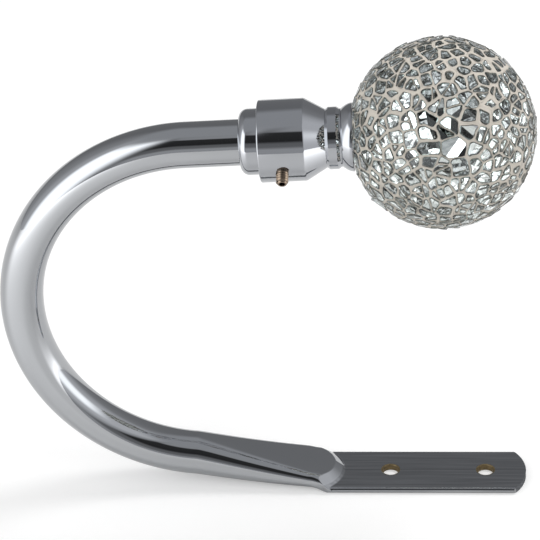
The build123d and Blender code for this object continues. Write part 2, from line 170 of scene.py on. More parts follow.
class TiebackMosaicSettings(bpy.types.PropertyGroup):
    """Sizes of the mirror shards and of the grout between them."""

    ball_station: millimetres("Ball station", 2.0, "Centre of the ball along the collar's axis")
    glass_radius: millimetres("Glass radius", 32.78, "Radius of the ball over the glass")
    grout_radius: millimetres("Grout radius", 32.45, "Radius of the ball over the grout")
    bed_radius: millimetres("Bed radius", 31.2, "Radius of the grout bed under the glass")
    mount_flat: millimetres("Mount flat", 11.4, "Radius of the bare flat at the collar")
    shortening: number("Shortening", 0.979, "Length of the ball along its axis over its width")
    spacing: millimetres("Spacing", 3.75, "Least distance between the middles of two cells")
    front_growth: number("Front growth", 0.75, "How much larger the cells in front are")
    chip_area: number("Chip area", 14.0, "Usual area of a chip of glass, in square millimetres")
    wander: millimetres("Wander", 0.75, "How far the broken edges stray from straight lines")
    joint: millimetres("Joint", 1.05, "Usual width of the grout joints")
    crack_joint: millimetres("Crack joint", 0.45, "Width of the joints across one broken cell")
    glass_height: millimetres("Glass height", 1.0, "Height of a chip up to its worn edge")
    edge_width: millimetres("Edge width", 0.24, "Width of the worn edge of a chip")
    edge_drop: millimetres("Edge drop", 0.16, "Height of the worn edge of a chip")
    hairline: millimetres("Crack", 0.04, "Width of the hairline cracks in the silvering")
    splinter_area: number("Splinter area", 4.5, "Area between the cracks, in square millimetres")
    chip_tilt: degrees("Chip tilt", 5.5, "Usual tilt of a chip in its bed")
    splinter_tilt: degrees("Splinter tilt", 17.0, "Largest tilt of the silver between cracks")
    seed: bpy.props.IntProperty(name="Seed", description="Seed of the mosaic", default=11)


class TiebackFinishSettings(bpy.types.PropertyGroup):
    """Colours of the plating, the grout and the glass."""

    tube_chrome: hex_colour("Tube chrome", "#B8BABD", "Chrome plate of the tube")
    tongue_streak: hex_colour("Tongue streaks", "#3E4044", "Dull streaks on the folded tongue")
    collar_chrome: hex_colour("Collar chrome", "#B8BABE", "Chrome plate of the collar")
    hole_dark: hex_colour("Hole, dark", "#5E5340", "Stains in the wall holes")
    hole_light: hex_colour("Hole, light", "#9A8762", "Brassy walls of the wall holes")
    screw_dark: hex_colour("Screw, dark", "#7A6C60", "Darker grain of the screw")
    screw_light: hex_colour("Screw, light", "#A89683", "Lighter grain of the screw")
    # Painted shade: the colour that ambient occlusion lays into the thread's grooves.
    screw_groove_shade: hex_colour("Screw grooves", "#3B342E", "Painted shade between the threads")
    grout_dark: hex_colour("Grout, dark", "#C9C2B8", "Stained grout")
    grout_light: hex_colour("Grout, light", "#DFD8CD", "Clean grout")
    silver_dark: hex_colour("Silvering, dark", "#C9CDCC", "Dullest silvering")
    silver_light: hex_colour("Silvering, light", "#F2F4F4", "Brightest silvering")
    glass: hex_colour("Glass", "#F6FAF8", "Clear glass")
    glass_edge: hex_colour("Glass edges", "#57625E", "Worn edges of the glass")


def on_arc(centre, radius, start, end, steps):
    """Points on an arc, the angles in degrees."""
    turns = [math.radians(start + (end - start) * k / steps) for k in range(steps + 1)]
    return [(centre[0] + radius * math.cos(t), centre[1] + radius * math.sin(t)) for t in turns]


def in_millimetres(settings):
    """The values of a settings group, with its lengths in millimetres."""
    values = types.SimpleNamespace()
    for name in settings.__annotations__:
        is_length = settings.bl_rna.properties[name].unit == "LENGTH"
        setattr(values, name, getattr(settings, name) / (MM if is_length else 1))
    return values


def placement(first, second, third, spot):
    """The matrix of a place with its three axes."""
    place = Matrix((first, second, third)).transposed().to_4x4()
    place.translation = spot
    return place


def added(name, data):
    """A new object in the scene."""
    thing = bpy.data.objects.new(name, data)
    bpy.context.scene.collection.objects.link(thing)
    return thing


def painted(mesh, material):
    """Give a mesh one material."""
    mesh.materials.clear()
    mesh.materials.append(material)


def new_piece(name, mesh, material, slot, *nodes):
    """Make an object of a finished mesh, put it on the root body and hide the CAD parts it stands
    for.
    """
    piece = added(name, mesh)
    painted(mesh, material)
    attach(piece, "root")
    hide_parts(*nodes)


def mesh_from(name, points, faces, smooth_angle=30.0, pointed=False):
    """A smooth mesh in metres from millimetre points; pointed where rings shrink to a point."""
    shape = bmesh.new()
    corners = [shape.verts.new(Vector(p) * MM) for p in points]
    for face in faces:
        shape.faces.new([corners[i] for i in face])
    bmesh.ops.remove_doubles(shape, verts=shape.verts, dist=0.0005 * MM)
    if pointed:
        bmesh.ops.dissolve_degenerate(shape, edges=shape.edges, dist=0.0001 * MM)
    bmesh.ops.recalc_face_normals(shape, faces=shape.faces)
    mesh = bpy.data.meshes.new(name)
    shape.to_mesh(mesh)
    shape.free()
    mesh.shade_smooth()
    mark_sharp(mesh, smooth_angle)
    return mesh


def ring_faces(rows, count, start=0):
    """Quads between neighbouring rings of points, the first ring starting at a number."""
    faces = []
    for row in range(rows - 1):
        low = start + row * count
        for k in range(count):
            after = (k + 1) % count
            faces.append((low + k, low + after, low + count + after, low + count + k))
    return faces


def mark_sharp(mesh, angle):
    """Keep edges sharper than an angle as sharp lines."""
    shape = bmesh.new()
    shape.from_mesh(mesh)
    limit = math.radians(angle)
    for edge in shape.edges:
        if len(edge.link_faces) == 2:
            edge.smooth = edge.calc_face_angle(0) < limit
    shape.to_mesh(mesh)
    shape.free()


def cut(mesh, tool_mesh):
    """Cut a tool's volume out of a mesh and give the result."""
    body = added("cut_body", mesh)
    tool = added("cut_tool", tool_mesh)
    modifier = body.modifiers.new("Cut", "BOOLEAN")
    modifier.object = tool
    modifier.solver = "EXACT"
    result = flattened(body, mesh.name)
    for part in (body, tool):
        bpy.data.objects.remove(part)
    return result


def flattened(piece, name):
    """The evaluated mesh of an object, as a plain mesh."""
    bpy.context.view_layer.update()
    graph = bpy.context.evaluated_depsgraph_get()
    result = bpy.data.meshes.new_from_object(piece.evaluated_get(graph))
    result.name = name
    return result


def circle(radius, station, count):
    """Points round the Z axis."""
    turns = [2 * math.pi * k / count for k in range(count)]
    return [(radius * math.cos(t), radius * math.sin(t), station) for t in turns]


def revolved(name, profile, turns, smooth_angle=30.0):
    """A turned solid about the Z axis, from a section of (radius, station) points."""
    points = [p for radius, station in profile for p in circle(radius, station, turns)]
    return mesh_from(name, points, ring_faces(len(profile), turns), smooth_angle, pointed=True)


def smooth_step(share):
    """A share from 0 to 1 with soft ends."""
    share = max(0.0, min(1.0, share))
    return share * share * (3 - 2 * share)


def round_quarters(count, first_quarter):
    """Points round a section with two mirror lines, from the rule for its first quarter."""
    points = []
    for k in range(count):
        turn = 2 * math.pi * k / count
        quarter = math.floor(turn / (math.pi / 2) + 1e-9)
        part = turn - quarter * math.pi / 2
        if quarter % 2 == 1:
            part = math.pi / 2 - part
        y, z = first_quarter(part)
        points.append((y if quarter in (0, 3) else -y, z if quarter in (0, 1) else -z))
    return points


def oval_points(half_height, round_radius, crown, count):
    """Points round a pressed tube whose outline keeps its length, from four tangent arcs."""
    gain = 2 * crown / math.pi - 1 + math.cos(crown)
    spread = (round_radius - half_height) / gain
    side = round_radius - 2 * crown / math.pi * spread
    return round_quarters(count, lambda part: oval_quarter(part, side, spread, crown))


def oval_quarter(part, side, spread, crown):
    """A point on the oval's first quarter: part runs from 0 at its side to a right angle on top."""
    length = spread * crown + side * math.pi / 2
    along = part / (math.pi / 2) * length
    side_length = side * (math.pi / 2 - crown)
    if along <= side_length:
        turn = along / side
        return spread * math.sin(crown) + side * math.cos(turn), side * math.sin(turn)
    radius = side + spread
    turn = crown - (along - side_length) / radius
    return radius * math.sin(turn), radius * math.cos(turn) - spread * math.cos(crown)


class TubeShape:
    """The tube's sections along its centre line, in millimetres, by the rule of the press."""

    def __init__(self, settings):
        vars(self).update(vars(in_millimetres(settings)))
        self.axis_height = (
            self.bend_centre_z
            + self.bend_radius / math.cos(self.rise_angle)
            - self.bend_centre_x * math.tan(self.rise_angle)
        )
        bore = self.tube_radius - self.tube_wall
        self.tongue_half_width = math.pi * bore / 2 + self.tube_wall
        self.tongue_thickness = 2 * self.tube_wall
        self.full_x = self.nose_tip_x - self.nose_radius + math.sqrt(
            self.nose_radius ** 2 - self.tongue_half_width ** 2
        )
        turn = self.bend_end_angle
        self.press_start_x = self.bend_centre_x + self.bend_radius * math.cos(turn)
        self.press_start_z = self.bend_centre_z + self.bend_radius * math.sin(turn)

    def straight(self, share, end_station):
        """Centre, slope and half height on the straight end; share runs towards the bend."""
        start = self.bend_centre_x * math.cos(self.rise_angle) + (
            self.bend_centre_z - self.axis_height
        ) * math.sin(self.rise_angle)
        station = end_station + (start - end_station) * share
        x = station * math.cos(self.rise_angle)
        z = self.axis_height + station * math.sin(self.rise_angle)
        return x, z, math.pi + self.rise_angle, self.tube_radius

    def bend(self, share):
        """Centre, slope and half height on the bend."""
        start = math.pi / 2 + self.rise_angle
        turn = start + (self.bend_end_angle - start) * share
        x = self.bend_centre_x + self.bend_radius * math.cos(turn)
        z = self.bend_centre_z + self.bend_radius * math.sin(turn)
        edge = min(turn - start, self.bend_end_angle - turn) / self.oval_blend_angle
        half = self.tube_radius - (self.tube_radius - self.bend_half_height) * smooth_step(edge)
        return x, z, turn + math.pi / 2, half

    def press(self, share):
        """Centre, slope and half height on the pressed stretch."""
        x = self.press_start_x + (self.press_end_x - self.press_start_x) * share
        ramp = min(1.0, (x - self.press_start_x) / (self.press_underside_x - self.press_start_x))
        under = (self.press_start_z - self.tube_radius) * (1 - ramp) ** 2
        half = self.tube_radius + (self.press_end_half_height - self.tube_radius) * share ** 1.15
        slope = (self.bend_end_angle - 1.5 * math.pi) * (1 - smooth_step(3 * share))
        return x, under + half, 2 * math.pi + slope, half

    def tongue_half_width_at(self, x):
        """Half width of the folded tongue, which widens from its root."""
        share = max(0.0, min(1.0, (x - self.fold_root_x) / (self.full_x - self.fold_root_x)))
        return self.tongue_half_width - self.fold_root_narrowing * (1 - share)

    def nose_height(self, x, y):
        """Height of the cone that ends the pressed stretch."""
        centre = self.nose_tip_x - self.nose_radius
        away = math.hypot(max(0.0, x - centre), y)
        return self.tongue_thickness + (self.nose_radius - away) * math.tan(self.nose_slope)


def ring_at(shape, place, count):
    """Points of the round or oval section at a place of the centre line."""
    x, z, slope, half = place
    ring = []
    for across, up in oval_points(half, shape.tube_radius, shape.crown_angle, count):
        ring.append((x - up * math.sin(slope), -across, z + up * math.cos(slope)))
    return ring


def slot_points(half_width, thickness, count):
    """Points round the folded tongue's section, matched to the oval's points."""
    radius = thickness / 2
    flat = half_width - radius
    bend = radius * math.pi / 2

    def first_quarter(part):
        """A point from the folded edge towards the middle of the top."""
        along = part / (math.pi / 2) * (flat + bend)
        if along <= bend:
            return flat + radius * math.cos(along / radius), radius * math.sin(along / radius)
        return flat - (along - bend), radius

    return [(y, z + radius) for y, z in round_quarters(count, first_quarter)]


def pressed_ring(shape, share, count):
    """A ring where the oval, the nose's cone and the folded tongue meet."""
    ring = ring_at(shape, shape.press(share), count)
    x = ring[0][0]
    if x < shape.fold_root_x:
        return ring
    slot = slot_points(shape.tongue_half_width_at(x), shape.tongue_thickness, count)
    joined = []
    share = (x - shape.fold_root_x) / (shape.full_x - shape.fold_root_x)
    blend = smooth_step(share)
    quick = smooth_step(3 * share)
    for index, ((px, py, pz), (flat_y, flat_z)) in enumerate(zip(ring, slot)):
        y = py + (-flat_y - py) * blend
        if index > count / 2:
            z = pz + (flat_z - pz) * blend
        else:
            z = pz + (max(flat_z, min(pz, shape.nose_height(px, y))) - pz) * quick
        joined.append((px, y, z))
    return joined


def tongue_ring(shape, share, start_x, count):
    """A ring of the flat tongue; the last ones follow the arc of its sheared end."""
    centre = shape.tongue_end_x - shape.tongue_end_radius
    ring = []
    for flat_y, flat_z in slot_points(shape.tongue_half_width, shape.tongue_thickness, count):
        end = centre + math.sqrt(shape.tongue_end_radius ** 2 - flat_y ** 2)
        ring.append((start_x + (end - start_x) * share, -flat_y, flat_z))
    return ring


def hook_mesh(shape):
    """The whole hook as one smooth skin, closed at both ends and drilled."""
    count = RING_POINTS
    rings = [ring_at(shape, shape.straight(k / STRAIGHT_RINGS, TUBE_END_STATION), count)
             for k in range(STRAIGHT_RINGS)]
    rings += [ring_at(shape, shape.bend(k / BEND_RINGS), count) for k in range(BEND_RINGS)]
    length = shape.press_end_x - shape.press_start_x
    root = (shape.fold_root_x - shape.press_start_x) / length
    last = (shape.nose_tip_x + 1.0 - shape.press_start_x) / length
    rings += [pressed_ring(shape, root * k / ROOT_RINGS, count) for k in range(ROOT_RINGS)]
    rings += [pressed_ring(shape, root + (last - root) * k / FOLD_RINGS, count)
              for k in range(FOLD_RINGS + 1)]
    rings += [tongue_ring(shape, k / FLAT_RINGS, shape.nose_tip_x + 1.2, count)
              for k in range(FLAT_RINGS + 1)]
    points = [p for ring in rings for p in ring]
    faces = ring_faces(len(rings), count)
    faces.append(tuple(range(count)))
    faces.append(tuple(range(len(points) - count, len(points))))
    mesh = mesh_from("hook_skin", points, faces, 28)
    for side in (-1, 1):
        mesh = cut(mesh, hole_tool(shape, side * shape.hole_spacing / 2))
    mesh.shade_smooth()
    mark_sharp(mesh, 28)
    return mesh


def hole_tool(shape, x):
    """Cutter of a wall hole with its worn rim."""
    thick = shape.tongue_thickness
    drop = 0.35
    profile = [(0, -1), (shape.hole_radius, -1), (shape.hole_radius, thick - drop)]
    rim = shape.hole_rim_radius - shape.hole_radius
    for k in range(1, 7):
        t = k / 6 * math.pi / 2
        profile.append((shape.hole_radius + rim * (1 - math.cos(t)),
                        thick - drop + drop * math.sin(t)))
    profile += [(shape.hole_rim_radius + 0.3, thick + 0.2), (0, thick + 0.2)]
    tool = revolved("hole_tool", profile, 64)
    tool.transform(Matrix.Translation((x * MM, 0, 0)))
    return tool


def collar_profile(settings):
    """Half section of the collar with its rounded corners, as (radius, station) points."""
    size = in_millimetres(settings)
    mouth, body, neck, flare = (size.mouth_station, size.body_radius, size.neck_radius,
                                size.flare_station)
    rounding = size.ring_rounding
    points = [(size.bore_radius, mouth + 0.4), (size.bore_radius + 0.35, mouth)]
    points += on_arc((size.ring_radius - rounding, mouth + rounding), rounding, -90, 0, 12)
    points += [(size.ring_radius, size.body_station)]
    points += on_arc((body - 0.5, size.body_station + 0.5), 0.5, -90, 0, 6)
    points += [(body, size.cone_station - 0.3)]
    points += on_arc((body - 1.6, size.cone_station), 1.6, 0, 32, 8)
    points += [(neck, size.neck_station), (size.bead_radius, size.neck_station + 1.0),
               (size.bead_radius, flare - 1.5), (neck, flare - 0.5), (neck, flare)]
    for k in range(1, 11):
        widening = math.sin(k / 10 * math.pi / 2) ** 0.9
        points.append((neck + size.flare_growth * widening, flare + size.flare_length * k / 10))
    end = flare + size.flare_length
    points += [(neck + size.flare_growth - 0.2, end + 0.05), (neck, end), (neck, end + 2.1),
               (3.0, end + 2.1)]
    return points + points[:1]


def collar_axis_matrix(shape):
    """Placement of pieces drawn along Z on the axis of the tube's upper end."""
    rise = shape.rise_angle
    axis = Vector((math.cos(rise), 0, math.sin(rise)))
    up = Vector((-math.sin(rise), 0, math.cos(rise)))
    return placement(up, axis.cross(up), axis, Vector((0, 0, shape.axis_height)) * MM)


def add_node(tree, kind, inputs=None, **attributes):
    """Add a node, set its attributes, and set its inputs or link them to their sources."""
    node = tree.nodes.new(kind)
    for name, value in attributes.items():
        setattr(node, name, value)
    for key, value in (inputs or {}).items():
        socket = node.inputs[key]
        if isinstance(value, bpy.types.NodeSocket):
            tree.links.new(value, socket)
        else:
            socket.default_value = (*value, 1) if socket.type == "RGBA" else value
    return node


def maths(tree, operation, *values):
    """The result of a sum on numbers or sockets."""
    return add_node(tree, "ShaderNodeMath", dict(enumerate(values)), operation=operation).outputs[0]


def vector_maths(tree, operation, output, inputs):
    """The result of a sum on vectors."""
    return add_node(tree, "ShaderNodeVectorMath", inputs, operation=operation).outputs[output]


def mapped(tree, value, start, end, low=0.0, high=1.0, kind="LINEAR"):
    """A value moved from one range to another."""
    return add_node(tree, "ShaderNodeMapRange", {"Value": value, 1: start, 2: end, 3: low, 4: high},
                    interpolation_type=kind).outputs["Result"]


def mixed(tree, share, first, second, kind="RGBA"):
    """A mix of two colours, or of two numbers with FLOAT as its kind."""
    return add_node(tree, "ShaderNodeMix", {"Factor": share, "A": first, "B": second},
                    data_type=kind).outputs["Result"]


def cloudy(tree, place, scale, detail):
    """Soft random value at a place."""
    return add_node(tree, "ShaderNodeTexNoise",
                    {"Vector": place, "Scale": scale, "Detail": detail}).outputs["Fac"]


def bumped(tree, height, strength, distance):
    """A surface direction bent by a height."""
    return add_node(tree, "ShaderNodeBump", {"Height": height, "Strength": strength,
                                             "Distance": distance}).outputs["Normal"]


def attribute(tree, name):
    """A number stored on the mesh."""
    return add_node(tree, "ShaderNodeAttribute", attribute_name=name).outputs["Fac"]


def emptied(holder):
    """The node tree of a material or a world, with nothing in it."""
    holder.use_nodes = True
    holder.node_tree.nodes.clear()
    return holder.node_tree


def new_material(name):
    """An empty node material, its tree and its object coordinates."""
    material = bpy.data.materials.new(name)
    tree = emptied(material)
    return material, tree, add_node(tree, "ShaderNodeTexCoord").outputs["Object"]


def surfaced(material, inputs):
    """The material, its surface made with these inputs."""
    tree = material.node_tree
    surface = add_node(tree, "ShaderNodeBsdfPrincipled", inputs)
    add_node(tree, "ShaderNodeOutputMaterial", {"Surface": surface.outputs["BSDF"]})
    return material


def rolled_tone(tree, place, finish):
    """Streaks along the folded tongue and the faint line down its middle."""
    parts = add_node(tree, "ShaderNodeSeparateXYZ", {0: place}).outputs
    stretched = vector_maths(tree, "MULTIPLY", "Vector", {0: place, 1: (28.0, 800.0, 0.0)})
    streak = mapped(tree, cloudy(tree, stretched, 1.0, 3.0), 0.38, 0.68, 0.66, 0.90)
    line = mapped(tree, maths(tree, "ABSOLUTE", parts["Y"]), 0.0001, 0.0006, 0.78, 1.0)
    above = mapped(tree, parts["Z"], 0.0025, 0.0034)
    share = maths(tree, "MAXIMUM", maths(tree, "MULTIPLY", streak, line), above)
    return mixed(tree, share, finish.tongue_streak, finish.tube_chrome)


def chrome_material(name, finish, rolled=False):
    """Bright chrome plate: a dark, very even mirror with the faintest polishing marks."""
    material, tree, place = new_material(name)
    return surfaced(material, {
        "Base Color": rolled_tone(tree, place, finish) if rolled else finish.collar_chrome,
        "Metallic": 1.0,
        "Roughness": mapped(tree, cloudy(tree, place, 900.0, 3.0), 0.0, 1.0, 0.03, 0.07),
        "Normal": bumped(tree, cloudy(tree, place, 60.0, 1.0), 0.04, 0.0004),
    })


def steel_material(finish):
    """Nickelled screw steel: a warm brownish grey, with painted shade darkening the grooves of the
    thread.
    """
    material, tree, place = new_material("nickelled_screw_steel")
    tone = mixed(tree, cloudy(tree, place, 1500.0, 3.0), finish.screw_dark, finish.screw_light)
    # Painted shade: ambient occlusion darkens the grooves of the thread towards the groove colour.
    groove = add_node(tree, "ShaderNodeAmbientOcclusion", {"Distance": 0.0007})
    open_share = mapped(tree, groove.outputs["AO"], 0.35, 0.9)
    return surfaced(material, {
        "Base Color": mixed(tree, open_share, finish.screw_groove_shade, tone),
        "Metallic": 1.0, "Roughness": 0.18,
    })


def bare_hole_material(finish):
    """Brassy brown of the thin plating inside a punched hole."""
    material, tree, place = new_material("bare_hole_wall")
    tone = mixed(tree, cloudy(tree, place, 700.0, 3.0), finish.hole_dark, finish.hole_light)
    return surfaced(material, {"Base Color": tone, "Metallic": 0.8, "Roughness": 0.4})


def grout_material(finish):
    """Cement grout: matt, warm off-white, with sandy grains and faint stains."""
    material, tree, place = new_material("cement_grout")
    return surfaced(material, {
        "Base Color": mixed(tree, cloudy(tree, place, 160.0, 4.0), finish.grout_dark,
                            finish.grout_light),
        "Roughness": 0.85,
        "Normal": bumped(tree, cloudy(tree, place, 2600.0, 2.0), 0.5, 0.0002),
    })


def mirror_material(finish, front):
    """Crackled mirror glass: greenish silver, each shard its own tone, calm at the front."""
    material, tree, place = new_material("crackled_mirror_glass")
    away = vector_maths(tree, "DISTANCE", "Value", {0: place, 1: tuple(front)})
    crumple = mapped(tree, away, 0.006, 0.018, 0.05, 0.35)
    return surfaced(material, {
        "Base Color": mixed(tree, attribute(tree, "glass_tone"), finish.silver_dark,
                            finish.silver_light),
        "Metallic": 1.0, "Roughness": 0.04,
        "Normal": bumped(tree, cloudy(tree, place, 420.0, 1.5), crumple, 0.0007),
    })


def glass_material(finish):
    """Clear glass over the silvering: dull worn edges and faint waves in its surface."""
    material, tree, place = new_material("clear_chip_glass")
    return surfaced(material, {
        "Base Color": mixed(tree, attribute(tree, "glass_edge"), finish.glass, finish.glass_edge),
        "Roughness": 0.0, "IOR": 1.5, "Transmission Weight": 1.0,
        "Normal": bumped(tree, cloudy(tree, place, 500.0, 1.0), 0.2, 0.0003),
    })


class TIEBACK_OT_hook(bpy.types.Operator):
    """Skin of the bent tube with its flattened tongue"""

    bl_idname = "tieback.hook"
    bl_label = "Hook"

    def execute(self, context):
        shape = TubeShape(context.scene.tieback_tube)
        mesh = hook_mesh(shape)
        finish = context.scene.tieback_finish
        new_piece("hook_skin", mesh, chrome_material("chrome_plate_tube", finish, rolled=True),
                  "chrome_tube", "hook")
        mesh.materials.append(bare_hole_material(finish))
        for face in mesh.polygons:
            x, y, z = face.center / MM
            away = math.hypot(abs(x) - shape.hole_spacing / 2, y)
            if away < shape.hole_rim_radius and 0.02 < z < shape.tongue_thickness - 0.02:
                face.material_index = 1
        return {"FINISHED"}


class TIEBACK_OT_collar(bpy.types.Operator):
    """Turned collar between the tube and the ball"""

    bl_idname = "tieback.collar"
    bl_label = "Collar"

    def execute(self, context):
        shape = TubeShape(context.scene.tieback_tube)
        profile = collar_profile(context.scene.tieback_collar)
        mesh = revolved("collar_skin", profile, 160, 24)
        mesh.transform(collar_axis_matrix(shape))
        drill = revolved("drill", [(0, 1), (SCREW_HOLE_RADIUS, 1), (SCREW_HOLE_RADIUS, 9), (0, 9)],
                         40)
        drill.transform(screw_matrix(shape, context.scene.tieback_screw))
        mesh = cut(mesh, drill)
        mesh.shade_smooth()
        mark_sharp(mesh, 24)
        chrome = chrome_material("chrome_plate_collar", context.scene.tieback_finish)
        new_piece("collar_skin", mesh, chrome, "chrome_collar", "collar")
        return {"FINISHED"}


def closed_tree(tree, geometry, start, end):
    """End a tree: its instances made real and its material set."""
    real = add_node(tree, "GeometryNodeRealizeInstances", {"Geometry": geometry})
    painted = add_node(tree, "GeometryNodeSetMaterial", {"Geometry": real.outputs[0],
                                                         "Material": start["Material"]})
    tree.links.new(painted.outputs[0], end.inputs["Geometry"])
    return tree


def joined(tree, *parts):
    """Geometries joined, the last one first."""
    join = add_node(tree, "GeometryNodeJoinGeometry")
    for part in parts:
        tree.links.new(part, join.inputs[0])
    return join.outputs[0]


def thread_tree():
    """Tree that winds a screw thread round a shank by rule."""
    tree, start, end = new_tree("screw_thread", Radius="Float", Pitch="Float", Turns="Float",
                                Ridge="Float", Start="Float")
    path = add_node(tree, "GeometryNodeCurveSpiral",
                    {"Rotations": start["Turns"], "Start Radius": start["Radius"],
                     "End Radius": start["Radius"], "Resolution": 40,
                     "Height": maths(tree, "MULTIPLY", start["Pitch"], start["Turns"])})
    upright = add_node(tree, "GeometryNodeSetCurveNormal", {"Curve": path.outputs[0]}, mode="Z_UP")
    ridge = add_node(tree, "GeometryNodeCurvePrimitiveCircle", {"Radius": start["Ridge"], 0: 4},
                     mode="RADIUS")
    wound = add_node(tree, "GeometryNodeCurveToMesh", {"Curve": upright.outputs[0],
                                                       "Profile Curve": ridge.outputs[0]})
    lift = add_node(tree, "ShaderNodeCombineXYZ", {"Z": start["Start"]})
    placed = add_node(tree, "GeometryNodeTransform", {"Geometry": wound.outputs[0],
                                                      "Translation": lift.outputs[0]})
    return closed_tree(tree, joined(tree, placed.outputs[0], start["Geometry"]), start, end)


def screw_matrix(shape, settings):
    """Placement of the grub screw, with Z out along it."""
    turn = settings.turn
    outward = Vector((math.cos(turn), math.sin(turn), 0))
    along = Vector((0, 0, 1))
    spot = outward * shape.tube_radius * MM + along * settings.station
    return collar_axis_matrix(shape) @ placement(along, outward.cross(along), outward, spot)


class TIEBACK_OT_fasteners(bpy.types.Operator):
    """Clamping screw, stud and insert"""

    bl_idname = "tieback.fasteners"
    bl_label = "Screw, stud and insert"

    def execute(self, context):
        steel = steel_material(context.scene.tieback_finish)
        settings = context.scene.tieback_screw
        shape = TubeShape(context.scene.tieback_tube)
        size = in_millimetres(settings)
        root, length, corner = size.root_radius, size.length, size.socket_radius
        shank = revolved("shank", [(0, 0), (root - 0.3, 0), (root, 0.3), (root, length - 0.3),
                                   (root - 0.25, length), (0, length)], 48)
        floor = length - size.socket_depth
        hexagon = revolved("hexagon", [(0, floor), (corner, floor), (corner, length + 1),
                                       (0, length + 1)], 6)
        shank = cut(shank, hexagon)
        turns = (settings.length - 1.1 * MM) / settings.pitch
        screw = grown(shank, thread_tree(), "grub_screw", {
            "Radius": settings.root_radius, "Pitch": settings.pitch, "Turns": turns,
            "Ridge": settings.crest_radius - settings.root_radius, "Start": 0.5 * MM,
            "Material": steel,
        })
        screw.transform(screw_matrix(shape, settings))
        mark_sharp(screw, 25)
        new_piece("grub_screw", screw, steel, "screw_steel", "set_screw")
        for name in ("stud", "threaded_insert"):
            painted(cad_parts[name].data, steel)
        return {"FINISHED"}


def flat_axes(normal):
    """Two directions square to a normal and to each other."""
    helper = Vector((0, 0, 1)) if abs(normal.z) < 0.9 else Vector((1, 0, 0))
    first = helper.cross(normal).normalized()
    return first, normal.cross(first)


def sides(outline):
    """The sides of an outline of (x, y) points, each as its two ends."""
    return zip(outline, outline[1:] + outline[:1])


def area_of(outline):
    """Area of a flat outline."""
    total = 0
    for index, (x, y) in enumerate(outline):
        before_x, before_y = outline[index - 1]
        total += before_x * y - x * before_y
    return abs(total) / 2


def middle_of(outline):
    """Mean of an outline's corners."""
    return sum(x for x, _ in outline) / len(outline), sum(y for _, y in outline) / len(outline)


def clipped(outline, normal_x, normal_y, limit):
    """The part of a convex outline on the near side of a line."""
    kept = []
    for (x, y), (after_x, after_y) in sides(outline):
        here = normal_x * x + normal_y * y - limit
        there = normal_x * after_x + normal_y * after_y - limit
        if here <= 0:
            kept.append((x, y))
        if (here < 0 < there) or (there < 0 < here):
            share = here / (here - there)
            kept.append((x + share * (after_x - x), y + share * (after_y - y)))
    return kept


def moved_edges(outline, distances):
    """A convex outline, anticlockwise, with every side moved inwards by its own distance."""
    result = outline
    for ((x, y), (after_x, after_y)), distance in zip(sides(outline), distances):
        length = math.hypot(after_x - x, after_y - y)
        if length > 1e-6:
            normal_x = (after_y - y) / length
            normal_y = -(after_x - x) / length
            limit = normal_x * x + normal_y * y - distance
            result = clipped(result, normal_x, normal_y, limit)
    return result


def crack_line(outline, swing):
    """A straight crack across an outline, square to its longest way: its normal and its place."""
    centre_x, centre_y = middle_of(outline)
    far_x, far_y = max(outline, key=lambda p: math.hypot(p[0] - centre_x, p[1] - centre_y))
    turn = math.atan2(far_y - centre_y, far_x - centre_x) + random.gauss(0, swing)
    normal_x, normal_y = math.cos(turn), math.sin(turn)
    shift = random.uniform(-0.14, 0.14) * math.sqrt(area_of(outline))
    return normal_x, normal_y, normal_x * centre_x + normal_y * centre_y + shift


def broken(outline, wanted, gap, swing):
    """Break an outline along straight cracks until its parts are small enough."""
    if len(outline) < 3 or area_of(outline) < wanted * random.uniform(0.6, 1.6):
        return [outline]
    normal_x, normal_y, limit = crack_line(outline, swing)
    parts = [clipped(outline, normal_x, normal_y, limit - gap / 2),
             clipped(outline, -normal_x, -normal_y, -limit - gap / 2)]
    return [piece for part in parts for piece in broken(part, wanted, gap, swing)]


def parted(outer, inner, wanted, gap):
    """Break a cell and the glass in it along the same lines, with a joint in the glass only."""
    if area_of(inner) < wanted * random.uniform(0.8, 2.0):
        return [(outer, inner)]
    normal_x, normal_y, limit = crack_line(inner, 0.5)
    half = gap * random.uniform(0.7, 1.5) / 2
    sides = []
    for sign in (1, -1):
        part = clipped(outer, sign * normal_x, sign * normal_y, sign * limit)
        glass = clipped(inner, sign * normal_x, sign * normal_y, sign * limit - half)
        if len(part) > 2 and len(glass) > 2:
            sides += parted(part, glass, wanted, gap)
    return sides


def divided(outline):
    """An outline with its long edges divided."""
    points = []
    for (x, y), (after_x, after_y) in sides(outline):
        count = max(1, round(math.hypot(after_x - x, after_y - y) / EDGE_STEP))
        points += [(x + (after_x - x) * k / count, y + (after_y - y) * k / count)
                   for k in range(count)]
    return points


def wandered(spot, away, reach):
    """A point moved along the ball by a smooth random field, which curves the broken edges."""
    shift = Vector()
    for axis in range(3):
        start = Vector((11.3 * axis, 5.1, -7.7 * axis))
        shift[axis] = reach * (noise.noise(spot * 300 + start)
                               + 0.35 * noise.noise(spot * 800 + start))
    return spot + shift - away * shift.dot(away)


def softened(outline):
    """An outline with its corners worn round and its edges divided."""
    points = []
    for index, (x, y) in enumerate(outline):
        before = outline[index - 1]
        after = outline[(index + 1) % len(outline)]
        corner = []
        for other_x, other_y in (before, after):
            length = math.hypot(other_x - x, other_y - y)
            share = min(0.42, CORNER_REACH / max(length, 1e-6))
            corner.append((x + share * (other_x - x), y + share * (other_y - y)))
        (ax, ay), (bx, by) = corner
        for t in (0, 0.33, 0.67, 1):
            u = 1 - t
            points.append((u * u * ax + 2 * u * t * x + t * t * bx,
                           u * u * ay + 2 * u * t * y + t * t * by))
    return divided(points)


